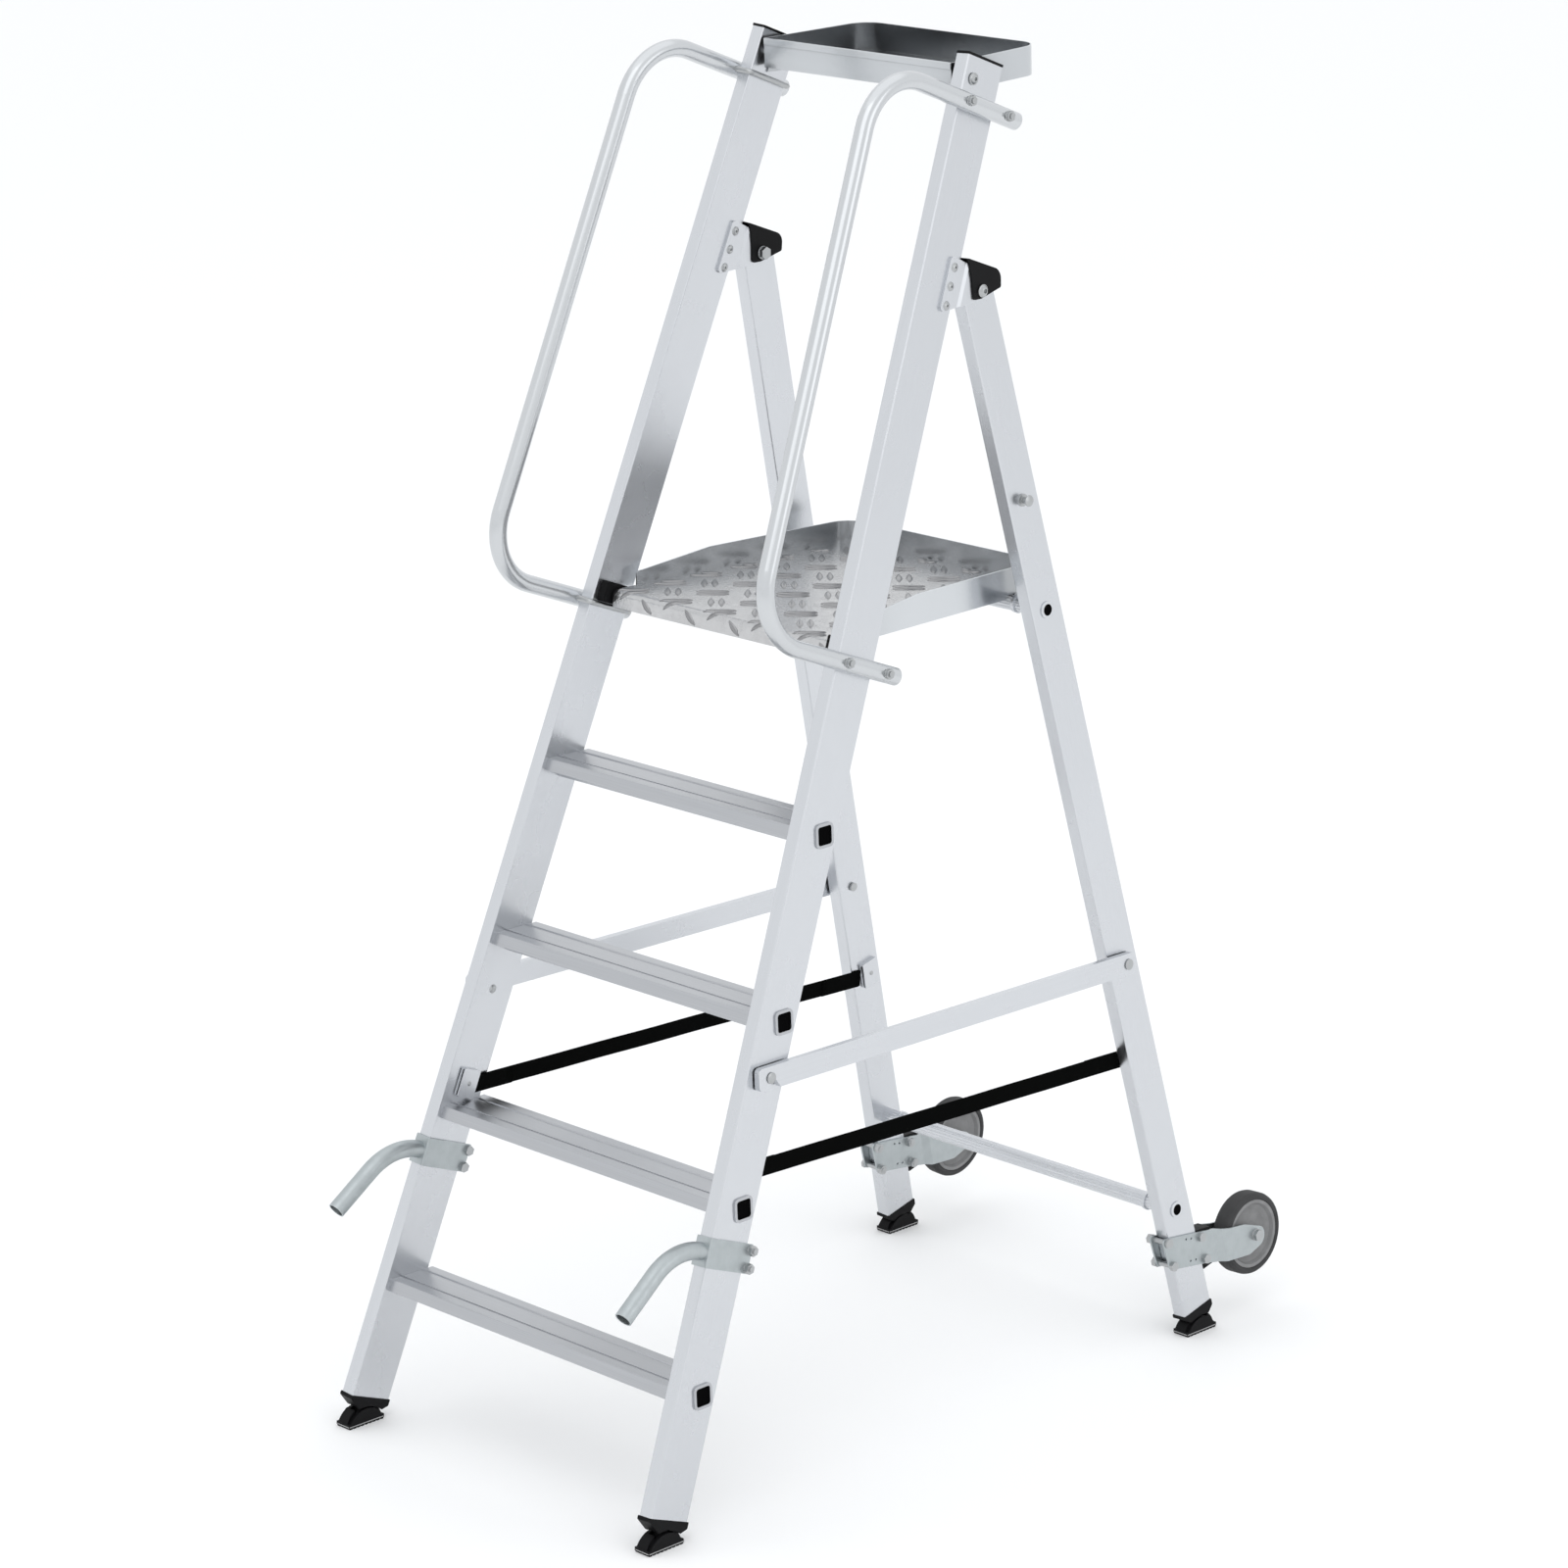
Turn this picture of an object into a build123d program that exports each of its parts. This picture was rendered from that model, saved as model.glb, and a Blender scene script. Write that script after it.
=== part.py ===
"""Wheeled platform step ladder with a folding rear frame, handrails and a tool tray.

Frame: millimetres, +Z up, +Y from the climbing side towards the rear frame,
+X to the climber's right.  The origin is on the floor at the centre of the
footprint.  The right-hand side is modelled and the left is its mirror image.
"""
import os
from math import cos, radians, sin, sqrt, tan

from build123d import *

os.makedirs("parts", exist_ok=True)

# ---------------------------------------------------------------- dimensions
STEP_RISE = 240.0
STEP_DROP = 30.0            # tread tops sit this far below whole rises
STEP_COUNT = 4
TREAD_DEPTH = 75.0
TREAD_SETBACK = 9.5         # tread nose behind the stile's front face
STEP_TUBE = 30.0            # square tube under the tread
STEP_BORE = (26.0, 4.0)     # its square bore and the radius of the corners
GROOVES = 4

FRONT_LEAN = 20.87          # front frame from vertical, degrees
FRONT_Y = -659.7            # front face of the stiles at floor level
FRONT_HALF = 320.2          # outer half width at floor level
FRONT_SLOPE = 0.0549        # half width lost per unit of stile length
STILE_WIDTH = 22.7
STILE_DEPTH = 72.6
STILE_LOW, STILE_HIGH = 55.8, 2068.7

REAR_LEAN = 14.4
REAR_HALF = 317.6
LEG_DEPTH = 58.5
LEG_LOW = 32.2
LEG_ABOVE_HINGE = 14.0
WALL = 1.6

HINGE_N, HINGE_S = 118.6, 1770.1   # depth and length along the stile
HINGE_RIVETS = ((58.6, 1734.1), (58.6, 1760.8), (58.6, 1787.5))
PLATE_THICK = 4.0
PLATE_JOGGLE = 1.4
COVER_WALL = 2.5

RAIL_RADIUS = 12.5
RAIL_BEND = 88.0
RAIL_REACH = -182.8         # handrail centre line in front of the stile
RAIL_END = 106.0
RAIL_ARMS = (1230.2, 2003.7)
RAIL_BOLTS = (-4.5, 77.1)

HANDLE_LOW, HANDLE_HIGH = 398.4, 439.3
HANDLE_TUBE_S = 418.6
HANDLE_BOLTS = (406.1, 430.7)

STRUT_PIN = (34.7, 664.8)   # (depth, length) on the front stile
STRUT_PIVOT = (28.0, 615.5)  # on the rear leg
STRUT_STORE = (28.0, 1344.6)
STRUT_IN, STRUT_OUT = 2.4, 11.8
STRUT_HEIGHT = 32.0
HOOK_SLANT = 53.6           # slot of the strut hook below the strut's axis

CROSS_TUBES = (1176.4, 202.8)
PLATFORM_TOP = 1162.0
PLATFORM_PIVOT = (33.0, 1248.9)
PLATFORM_HALF = 214.5
PLATFORM_SLOPE = 0.0649
PLATFORM_FRONT, PLATFORM_REAR = -10.8, 437.8   # from the pivot
DECK_SHEET = 2.0
NOSE_RADIUS = 9.0
TOE_TOP, TOE_BOTTOM = 34.5, -9.5               # from the platform top

TRAY_PIVOT = (18.4, 2038.6)
TRAY_HALF, TRAY_SLOPE = 179.0, 0.0588
TRAY_FRONT, TRAY_REAR = -11.3, 181.7           # from the pivot
TRAY_LOW, TRAY_HIGH = -21.2, 20.1
TRAY_TILT = 2.1

WHEEL_N, WHEEL_S = 170.8, 83.2
WHEEL_RADIUS = 62.5
BRACKET_THICK = 3.0
BRACKET_BOLTS = ((-4.9, 164.5), (-4.9, 125.0), (63.4, 137.5), (63.4, 100.3))

SHOE_PIVOT_Z = 14.0
SHOE_TILT = 10.0                # either way, degrees
SHOE_CHEEK = (32.5, -8.5)       # (radius, centre height) of the arched cheeks
SHOE_WEB = (33.2, -3.0)         # of the arched toe and heel between them
SHOE_BASE = 4.2                 # underside of the shoe's base plate
SOLE_LENGTH, SOLE_WIDTH = 65.0, 27.5

# ---------------------------------------------------------- reference frames
CF, SF = cos(radians(FRONT_LEAN)), sin(radians(FRONT_LEAN))
CR, SR = cos(radians(REAR_LEAN)), sin(radians(REAR_LEAN))
FRONT_RUN = sqrt(1 + FRONT_SLOPE ** 2)   # member length per unit of height in the frame's plane


def front_yz(n, s):
    """World (y, z) of a point at depth n and length s along a front stile."""
    return FRONT_Y + s / FRONT_RUN * SF + n * CF, s / FRONT_RUN * CF - n * SF


HINGE_Y, HINGE_Z = front_yz(HINGE_N, HINGE_S)
HINGE_REAR_S = (HINGE_Z - LEG_DEPTH / 2 * SR) / CR
REAR_Y = HINGE_Y - LEG_DEPTH / 2 * CR + HINGE_REAR_S * SR
HINGE_HALF = FRONT_HALF - FRONT_SLOPE * HINGE_S / FRONT_RUN
REAR_SLOPE = (REAR_HALF - HINGE_HALF) / HINGE_REAR_S
REAR_RUN = sqrt(1 + REAR_SLOPE ** 2)


def side_frame(y, lean, half, slope):
    """Frame of one side member: x outward from its outer face, y depth, z length."""
    run = sqrt(1 + slope * slope)
    member = Plane(origin=(half, 0, 0), x_dir=(1 / run, 0, slope / run),
                   z_dir=(-slope / run, 0, 1 / run))
    return Location((0, y, 0), (lean, 0, 0)) * member.location


FRONT = Location((0, FRONT_Y, 0), (-FRONT_LEAN, 0, 0))
REAR = Location((0, REAR_Y, 0), (REAR_LEAN, 0, 0))
STILE = side_frame(FRONT_Y, -FRONT_LEAN, FRONT_HALF, FRONT_SLOPE)
LEG = side_frame(REAR_Y, REAR_LEAN, REAR_HALF, REAR_SLOPE)
MID = -STILE_WIDTH / 2      # middle of a side member in its own frame


def rear_yz(n, s):
    """World (y, z) of a point at depth n and length s along a rear leg."""
    return REAR_Y - s / REAR_RUN * SR + n * CR, s / REAR_RUN * CR + n * SR


# ------------------------------------------------------------------- helpers
def face_of(*corners):
    """Closed face from (u, v) or (u, v, corner radius) points."""
    face = make_face(Polyline(*[(c[0], c[1]) for c in corners], close=True))
    for corner in corners:
        if len(corner) == 3:
            nearest = face.vertices().sort_by_distance((corner[0], corner[1], 0))[0]
            face = fillet(nearest, corner[2])
    return face


def side_prism(face, lo, hi):
    """Face drawn in (y, z), extruded across from x = lo to x = hi."""
    return Pos(lo, 0, 0) * extrude(Plane.YZ * face, amount=hi - lo, dir=(1, 0, 0))


def column(face, lo, hi):
    """Face drawn in (x, y), extruded up from z = lo to z = hi."""
    return Pos(0, 0, lo) * extrude(face, amount=hi - lo, dir=(0, 0, 1))


def block(lo, hi):
    """Box between two opposite corners."""
    size = [b - a for a, b in zip(lo, hi)]
    return Pos(*lo) * Box(*size, align=(Align.MIN,) * 3)


def cross(shape, x, y, z):
    """Turn a shape built along +Z to point along +X and move it."""
    return Pos(x, y, z) * Rot(0, 90, 0) * shape


def rod(radius, lo, hi, y, z):
    """Round rod along X."""
    return cross(Cylinder(radius, hi - lo, align=(Align.CENTER, Align.CENTER, Align.MIN)), lo, y, z)


def hexagon(across, lo, hi, y, z):
    """Hexagonal head or nut along X."""
    return cross(extrude(RegularPolygon(across / sqrt(3), 6), amount=hi - lo), lo, y, z)


def dome(radius, height, x, y, z, outward=True):
    """Low domed rivet head standing on x."""
    ball = (radius ** 2 + height ** 2) / (2 * height)
    cap = Pos(0, 0, height - ball) * Sphere(ball) & Pos(0, 0, ball) * Box(4 * ball, 4 * ball, 2 * ball)
    turn = Rot(0, 90, 0) if outward else Rot(0, -90, 0)
    return Pos(x, y, z) * turn * cap


def box_tube(depth, lo, hi):
    """Rectangular side member between two lengths, in its own frame."""
    outer = RectangleRounded(STILE_WIDTH, depth, 2.0)
    inner = RectangleRounded(STILE_WIDTH - 2 * WALL, depth - 2 * WALL, 0.8)
    return Pos(MID, depth / 2, lo) * extrude(outer - inner, amount=hi - lo)


def span(frame, half, slope, offset, lo, hi):
    """Everything between the two sides of a frame, out to an offset from their outer faces."""
    reach = half + offset * sqrt(1 + slope * slope)
    low, high = reach - slope * lo, reach - slope * hi
    face = Plane.XZ * make_face(Polyline((-low, lo), (low, lo), (high, hi), (-high, hi), close=True))
    return frame * extrude(face, amount=150, both=True)


def flip(shape):
    """Left-hand copy of a right-hand shape."""
    return mirror(shape, about=Plane.YZ)


def group(*shapes):
    """Several separate solids as one shape."""
    return Compound([solid for shape in shapes for solid in shape.solids()])


def both(shape):
    """A right-hand shape together with its left-hand copy."""
    return group(shape, flip(shape))


def joined(*shapes):
    """Fuse shapes into one."""
    result = shapes[0]
    for shape in shapes[1:]:
        result = result + shape
    return result


def save(name, shape):
    shape.label = name
    export_step(shape, f"parts/{name}.step")


def save_pair(name, shape):
    save(f"{name}_right", shape)
    save(f"{name}_left", flip(shape))


# --------------------------------------------------------------------- steps
def step_origin(index):
    """World (y, z) of the front top edge of a tread."""
    z = index * STEP_RISE - STEP_DROP
    return FRONT_Y + z * tan(radians(FRONT_LEAN)) + TREAD_SETBACK, z


def tread_section():
    """Grooved tread with a slanted nose and a short rear lip, front top edge at the origin."""
    top = [(0, -0.8), (0.8, 0)]
    for k in range(GROOVES):
        y = 16.5 + 12.2 * k
        top += [(y, 0), (y + 1.6, -1.4), (y + 5.0, -1.4), (y + 6.6, 0)]
    drop = 15.8
    lean = drop * tan(radians(FRONT_LEAN))
    under = [(TREAD_DEPTH, 0), (TREAD_DEPTH, -9), (TREAD_DEPTH - 2, -9), (TREAD_DEPTH - 2, -2.4),
             (2.6, -2.4), (2.2 - lean, -drop), (-lean, -drop)]
    return make_face(Polyline(*(top + under), close=True))


def square_at(size, index, radius=0.0):
    """Square prism along X, centred on the step tube."""
    y, z = step_origin(index)
    face = RectangleRounded(size, size, radius) if radius else Rectangle(size, size)
    return side_prism(Pos(y + 35.6, z - STEP_TUBE / 2) * face, -400, 400)


def front_span(offset, index):
    middle = index * STEP_RISE
    return span(FRONT, FRONT_HALF, FRONT_SLOPE, offset, middle - 150, middle + 150)


def step(index):
    y, z = step_origin(index)
    tread = side_prism(Pos(y, z) * tread_section(), -400, 400) & front_span(-STILE_WIDTH, index)
    tube = square_at(STEP_TUBE, index) & front_span(2.0, index)
    collar = square_at(34.0, index, 8.0) & (front_span(2.6, index) - front_span(0.0, index))
    return joined(tube, tread, collar) - square_at(STEP_BORE[0], index, STEP_BORE[1])


def step_plug(index):
    body = square_at(STEP_BORE[0] - 0.1, index, STEP_BORE[1] - 0.05) & front_span(0.8, index)
    return both(body & block((0, -2000, -10), (400, 2000, 2500)) - front_span(-14.0, index))


# --------------------------------------------------------------------- hinge
def hinge_plate():
    """Outer plate in the stile's frame, set outward behind the stile to clear the leg."""
    j, t = PLATE_JOGGLE, PLATE_THICK
    bent = column(face_of((0, 46), (0, 79), (j, 85), (j, 142), (j + t, 142), (j + t, 85), (t, 79), (t, 46)),
                  1700, 1830)
    shape = side_prism(face_of((48.5, 1721.5, 6), (120.5, 1756.5, 8), (139, 1768.5, 10), (136, 1794.5, 12),
                               (48.5, 1801.5, 6)), -1, 8)
    return bent & shape


def across_mid(shape):
    """Copy on the inner side of the same member."""
    return mirror(shape, about=Plane(origin=(MID, 0, 0), z_dir=(1, 0, 0)))


def hinge_rivets():
    inner = -STILE_WIDTH - PLATE_THICK
    parts = []
    for n, s in HINGE_RIVETS:
        blank = joined(rod(3.2, inner, PLATE_THICK, n, s), dome(6.5, 2.4, PLATE_THICK, n, s),
                       dome(6.5, 2.4, inner, n, s, outward=False))
        parts.append(blank - rod(1.7, PLATE_THICK, PLATE_THICK + 5, n, s) - rod(1.7, inner - 5, inner, n, s))
    return group(*parts)


def hinge_bolt():
    """Bolt on the world X axis with a socket head outside and a nut inside."""
    mid = HINGE_HALF + MID
    bolt = joined(rod(5.0, mid - 28, mid + 20, HINGE_Y, HINGE_Z),
                  rod(9.0, mid + 19.4, mid + 21.6, HINGE_Y, HINGE_Z),
                  dome(8.6, 4.6, mid + 21.6, HINGE_Y, HINGE_Z),
                  hexagon(16, mid - 28, mid - 21.0, HINGE_Y, HINGE_Z),
                  rod(9.5, mid - 21.0, mid - 19.4, HINGE_Y, HINGE_Z))
    return bolt - hexagon(6, mid + 22.4, mid + 30, HINGE_Y, HINGE_Z)


def hinge_cover():
    """Cap over the top of the leg: two cheeks joined by a top and a rear wall."""
    inside = STILE_WIDTH / 2 + PLATE_JOGGLE + PLATE_THICK + 0.05
    outside = inside + COVER_WALL
    n, s, r = HINGE_N, HINGE_S, 33.2
    body = side_prism(face_of((69, 1804.9, 2), (147, 1805.9, 17), (154.8, 1783.7, 3), (120.5, 1758.9, 4),
                              (106, 1753.2, 4), (94, 1778.7), (81, 1799.9, 3)), MID - outside, MID + outside)
    hollow = joined(block((MID - inside, 30, 1690), (MID + inside, n, s + r)),
                    block((MID - inside, 30, 1690), (MID + inside, n + r, s)),
                    rod(r, MID - inside, MID + inside, n, s))
    stile = block((-STILE_WIDTH - 0.05, -1, 1690), (0.05, STILE_DEPTH + 0.05, 1830))
    return body - hollow - stile


# ----------------------------------------------------------------- handrails
def arm_rods(radius, lo, hi):
    return [rod(radius, lo, hi, n, s) for s in RAIL_ARMS for n in RAIL_BOLTS]


def rail_path(inset):
    return Plane.YZ * FilletPolyline((RAIL_END - inset, RAIL_ARMS[0]), (RAIL_REACH, RAIL_ARMS[0]),
                                     (RAIL_REACH, RAIL_ARMS[1]), (RAIL_END - inset, RAIL_ARMS[1]),
                                     radius=RAIL_BEND)


def swept(path, radius):
    return sweep(Plane(origin=path @ 0, z_dir=path % 0) * Circle(radius), path=path)


def handrail():
    tube = swept(rail_path(0.0), RAIL_RADIUS) - swept(rail_path(1.6), RAIL_RADIUS - 1.8)
    tube = Pos(RAIL_RADIUS + 0.05, 0, 0) * tube
    for hole in arm_rods(4.1, -5, 40):
        tube = tube - hole
    return tube


def u_bolts():
    """One U-bolt per arm, its bight against the inner face of the stile."""
    inner = -STILE_WIDTH - 4.05
    near, far = RAIL_BOLTS
    loops = []
    for s in RAIL_ARMS:
        path = FilletPolyline((33, near), (inner, near), (inner, far), (33, far), radius=6)
        loops.append(Pos(0, 0, s) * swept(path, 4.0))
    return group(*loops)


def rail_nuts():
    nuts = []
    for s in RAIL_ARMS:
        for n in RAIL_BOLTS:
            nut = joined(rod(7.5, 25.1, 26.5, n, s), hexagon(13, 26.5, 31.0, n, s))
            nuts.append(nut - rod(4.0, 20, 40, n, s))
    return group(*nuts)


# -------------------------------------------------------------- lift handles
def lift_handle():
    """U-bracket round the stile with a bent tube welded to its front."""
    w = STILE_WIDTH
    outer = Pos(MID, 39.5, 0) * RectangleRounded(w + 6.1, 85, 2.6)
    inner = block((-w - 0.05, -0.05, 0), (0.05, 90, 500))
    shell = column(outer, HANDLE_LOW, HANDLE_HIGH) - inner
    shell = shell - block((-60, 80.5, 0), (30, 90, 500))
    bend, sweep_angle = 92.0, 57.0
    path = Line((-3.0, HANDLE_TUBE_S), (-6.0, HANDLE_TUBE_S))
    path += JernArc(start=(-6.0, HANDLE_TUBE_S), tangent=(-1, 0), radius=bend, arc_size=sweep_angle)
    path += Line(path @ 1, path @ 1 + 74.6 * (path % 1))
    path = Pos(MID, 0, 0) * (Plane.YZ * path)
    tube = swept(path, RAIL_RADIUS) - swept(path, RAIL_RADIUS - 1.8)
    handle = joined(shell, tube)
    for s in HANDLE_BOLTS:
        handle = handle - rod(4.0, -40, 20, 77.2, s)
    return handle


def handle_bolts():
    inner, outer = -STILE_WIDTH - 3.05, 3.05
    sets = []
    for s in HANDLE_BOLTS:
        sets.append(joined(rod(4.0, inner - 5, outer + 10.5, 77.2, s),
                           hexagon(13, inner - 5.3, inner, 77.2, s),
                           rod(7.2, outer, outer + 1.5, 77.2, s),
                           hexagon(13, outer + 1.5, outer + 8.0, 77.2, s)))
    return group(*sets)


# -------------------------------------------------------------------- struts
def hook_pin(n, s):
    """Headed pin through a side member, riveted over on the inner face."""
    return joined(rod(4.5, -STILE_WIDTH, 12.4, n, s), rod(9.0, 0.0, 1.8, n, s), rod(8.0, 12.3, 13.4, n, s),
                  dome(8.0, 1.6, 13.4, n, s), dome(6.5, 3.0, -STILE_WIDTH, n, s, outward=False))


def strut_frame():
    """x along the strut from its rear pivot, z outward, origin on the leg's outer face."""
    pivot = (LEG * Pos(0, STRUT_PIVOT[0], STRUT_PIVOT[1])).position
    pin = (STILE * Pos(0, STRUT_PIN[0], STRUT_PIN[1])).position
    along = pin - pivot
    outward = Vector(1, 0, 0.0567)
    outward = outward - along * (outward.dot(along) / along.length ** 2)
    plane = Plane(origin=pivot, x_dir=along.normalized(), z_dir=outward.normalized())
    return plane.location, along.length


def strut():
    frame, length = strut_frame()
    bar = Pos((length + 8) / 2, 0) * RectangleRounded(length + 36, STRUT_HEIGHT, 7)
    slot = Rot(0, 0, HOOK_SLANT) * Pos(-15, 0) * Rectangle(30, 9.8)
    profile = bar - Circle(4.05) - Pos(length, 0) * (Circle(4.9) + Rot(0, 0, -2 * HOOK_SLANT) * slot)
    return frame * column(profile, STRUT_IN, STRUT_OUT)


def strut_rivet():
    """Rivet holding the strut to the leg, with a spacing washer behind the strut."""
    frame, _ = strut_frame()
    tail = Pos(0, 0, -STILE_WIDTH - 4.0) * Cylinder(6.5, 3.4, align=(Align.CENTER, Align.CENTER, Align.MIN))
    pin = joined(tail, column(Circle(4.0), -STILE_WIDTH - 1.0, STRUT_OUT + 0.4), column(Circle(9.0), 0.25, STRUT_IN - 0.35),
                 column(Circle(8.0), STRUT_OUT + 0.35, STRUT_OUT + 2.0))
    return frame * pin


# -------------------------------------------------------------------- straps
STRAP_FRONT = (38.0, 522.0)
STRAP_REAR = (14.0, 461.5)
STRAP_DEPTH = -STILE_WIDTH - 3.15


def strap_clip(n_lo, s_lo):
    """Moulded loop on the inner face of a member; the webbing runs through its slot."""
    inner = -STILE_WIDTH
    body = side_prism(face_of((n_lo, s_lo, 3), (n_lo + 31, s_lo, 3), (n_lo + 31, s_lo + 42, 3),
                              (n_lo, s_lo + 42, 3)), inner - 6.4, inner - 0.02)
    slot = block((inner - 4.5, n_lo - 5, s_lo + 2), (inner - 1.8, n_lo + 40, s_lo + 40))
    return body - slot


def strap():
    a = (STILE * Pos(STRAP_DEPTH, STRAP_FRONT[0], STRAP_FRONT[1])).position
    b = (LEG * Pos(STRAP_DEPTH, STRAP_REAR[0], STRAP_REAR[1])).position
    plane = Plane(origin=a, x_dir=(b - a).normalized(), z_dir=(1, 0, 0.055))
    return plane.location * block((0, -12.5, -0.9), ((b - a).length, 12.5, 0.9))


# ------------------------------------------------------------------ platform
def platform_outline(grow=0.0, front=PLATFORM_FRONT, rear=PLATFORM_REAR):
    """Tapered outline with rounded rear corners, pivot line at y = 0."""
    front_half = PLATFORM_HALF + grow
    rear_half = front_half - PLATFORM_SLOPE * (rear - PLATFORM_FRONT)
    return face_of((-front_half, front), (front_half, front), (rear_half, rear + grow, 37 + grow),
                   (-rear_half, rear + grow, 37 + grow))


def platform_place():
    y, _ = front_yz(*PLATFORM_PIVOT)
    return Pos(0, y, PLATFORM_TOP)


def platform_pivot_drop():
    return front_yz(*PLATFORM_PIVOT)[1] - PLATFORM_TOP


def tube_notch():
    """Room in the lower edges for the upper cross tube."""
    y, z = rear_yz(LEG_DEPTH / 2, CROSS_TUBES[0])
    y, z = y - front_yz(*PLATFORM_PIVOT)[0], z - PLATFORM_TOP
    return block((-300, y - 19, z - 30), (300, y + 14, z + 13))


def round_nose(solid, radius):
    """Round the front top edge."""
    nose = solid.edges().filter_by(Axis.X).group_by(Axis.Z)[-1].sort_by(Axis.Y)[0]
    return fillet(nose, radius)


def platform_plate():
    """Deck turned down along its edges, with deeper ears and nose at the front."""
    drop, thick = platform_pivot_drop(), DECK_SHEET
    solid = round_nose(column(platform_outline(), -25, 0), NOSE_RADIUS)
    inner = round_nose(column(offset(platform_outline(), -thick), -30, -thick), NOSE_RADIUS - thick)
    shallow = block((-300, 26, -30), (300, 500, TOE_BOTTOM + 1.0))
    deck = solid - inner - shallow - tube_notch()
    for hole in (rod(4.05, 180, 240, 0, drop), rod(4.05, -240, -180, 0, drop)):
        deck = deck - hole
    return platform_place() * deck


def toe_board():
    """Upstand round the sides and rear, ramped down towards the front."""
    ring = column(platform_outline(2.0) - platform_outline(0.02), -40, 60)
    side = side_prism(face_of((33.5, TOE_BOTTOM, 4), (PLATFORM_REAR + 10, TOE_BOTTOM),
                              (PLATFORM_REAR + 10, TOE_TOP), (170, TOE_TOP), (33.5, 19, 3)), -300, 300)
    return platform_place() * (ring & side - tube_notch())


def platform_bushing():
    """Spacing block on the inner face of the stile."""
    inner = -STILE_WIDTH
    body = side_prism(face_of((9, 1235, 3), (51, 1235, 3), (51, 1265, 3), (9, 1265, 3)), inner - 12, inner - 0.02)
    return STILE * body


def platform_bolt():
    y, z = front_yz(*PLATFORM_PIVOT)
    return joined(rod(4.0, 207.0, 231.5, y, z), rod(6.0, 203.0, 207.0, y, z))


def platform_clip():
    """Saddle under the deck that drops over the upper cross tube from behind."""
    y, z = rear_yz(LEG_DEPTH / 2, CROSS_TUBES[0])
    under = PLATFORM_TOP - 2.02
    body = side_prism(face_of((y - 16.5, z + 6.6), (y, z + 6.6), (y, z - 9, 1), (y + 16.5, z - 9, 3),
                              (y + 16.5, under), (y - 16.5, under)), 140, 172)
    return body - rod(12.35, 100, 200, y, z) - block((100, y - 13, z - 30), (200, y + 3, z))


# ---------------------------------------------------------------------- tray
def tray_outline(grow=0.0):
    front_half = TRAY_HALF + grow
    rear_half = front_half - TRAY_SLOPE * (TRAY_REAR - TRAY_FRONT)
    return face_of((-front_half, TRAY_FRONT - grow), (front_half, TRAY_FRONT - grow),
                   (rear_half, TRAY_REAR + grow, 35 + grow), (-rear_half, TRAY_REAR + grow, 35 + grow))


def tray():
    """Open tray with a folded lip along its front edge."""
    y, z = front_yz(*TRAY_PIVOT)
    shell = column(tray_outline(), TRAY_LOW, TRAY_HIGH) - column(tray_outline(-1.8), TRAY_LOW + 2, TRAY_HIGH + 5)
    half = TRAY_HALF - 0.5
    lip = block((-half, TRAY_FRONT - 1.2, TRAY_HIGH - 9), (half, TRAY_FRONT + 0.1, TRAY_HIGH))
    body = Rot(TRAY_TILT, 0, 0) * joined(shell, lip)
    for hole in (rod(4.05, 150, 200, 0, 0), rod(4.05, -200, -150, 0, 0)):
        body = body - hole
    return Pos(0, y, z) * body


def tray_bolt():
    """Button-headed bolt through the stile, a spacer and the side of the tray."""
    y, z = front_yz(*TRAY_PIVOT)
    face = FRONT_HALF - FRONT_SLOPE * TRAY_PIVOT[1] / FRONT_RUN
    inner = face - STILE_WIDTH
    wall = TRAY_HALF + TRAY_SLOPE * TRAY_FRONT
    return joined(rod(4.0, wall - 9, face + 1.5, y, z), rod(7.0, wall + 0.8, inner - 0.6, y, z),
                  rod(8.5, face + 0.6, face + 2.0, y, z), dome(7.0, 4.0, face + 2.0, y, z),
                  hexagon(13, wall - 9, wall - 3.0, y, z)) - hexagon(5, face + 3.0, face + 9, y, z)


def tray_tab():
    """Angle riveted to the inner face of the stile; the tray rests on it."""
    inner = -STILE_WIDTH
    y, z = front_yz(*TRAY_PIVOT)
    top = z + TRAY_LOW + 0.3
    shelf = Pos(0, y, 0) * block((162, 14, top - 2.5), (196, 56, top))
    web = block((inner - 2.5, 30, 2000), (inner, 72, 2040))
    web = STILE * web & Pos(0, y, 0) * block((100, -20, top - 9), (250, 80, top - 1))
    keep = span(FRONT, FRONT_HALF, FRONT_SLOPE, -STILE_WIDTH - 0.02, 1900, 2100)
    return joined(shelf, web) & keep


# ---------------------------------------------------------------------- feet
def end_insert(depth, lo, hi):
    """Plug inside the end of a side member."""
    section = RectangleRounded(STILE_WIDTH - 2 * WALL - 0.2, depth - 2 * WALL - 0.2, 1.6)
    return column(Pos(MID, depth / 2) * section, lo, hi)


def foot_cap(depth, cut):
    """Cap pushed into the end of a member, with a deep skirt on each side."""
    w = STILE_WIDTH
    cap = side_prism(face_of((-1, cut), (-1, cut - 5, 2), (depth * 0.27, cut - 18.5, 2), (depth * 0.5, cut - 12),
                             (depth * 0.83, cut - 17.5, 2), (depth + 1, cut - 9, 3), (depth + 1, cut)),
                     -w - 1.3, 1.3)
    return joined(cap, end_insert(depth, cut, cut + 16))


def foot_tongue(depth, cut, pivot_s):
    """Round-ended tongue under the cap, on which the shoe tilts."""
    mid = depth / 2
    return joined(block((MID - 7, mid - 6, pivot_s), (MID + 7, mid + 6, cut)),
                  rod(6.0, MID - 7, MID + 7, mid, pivot_s))


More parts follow.
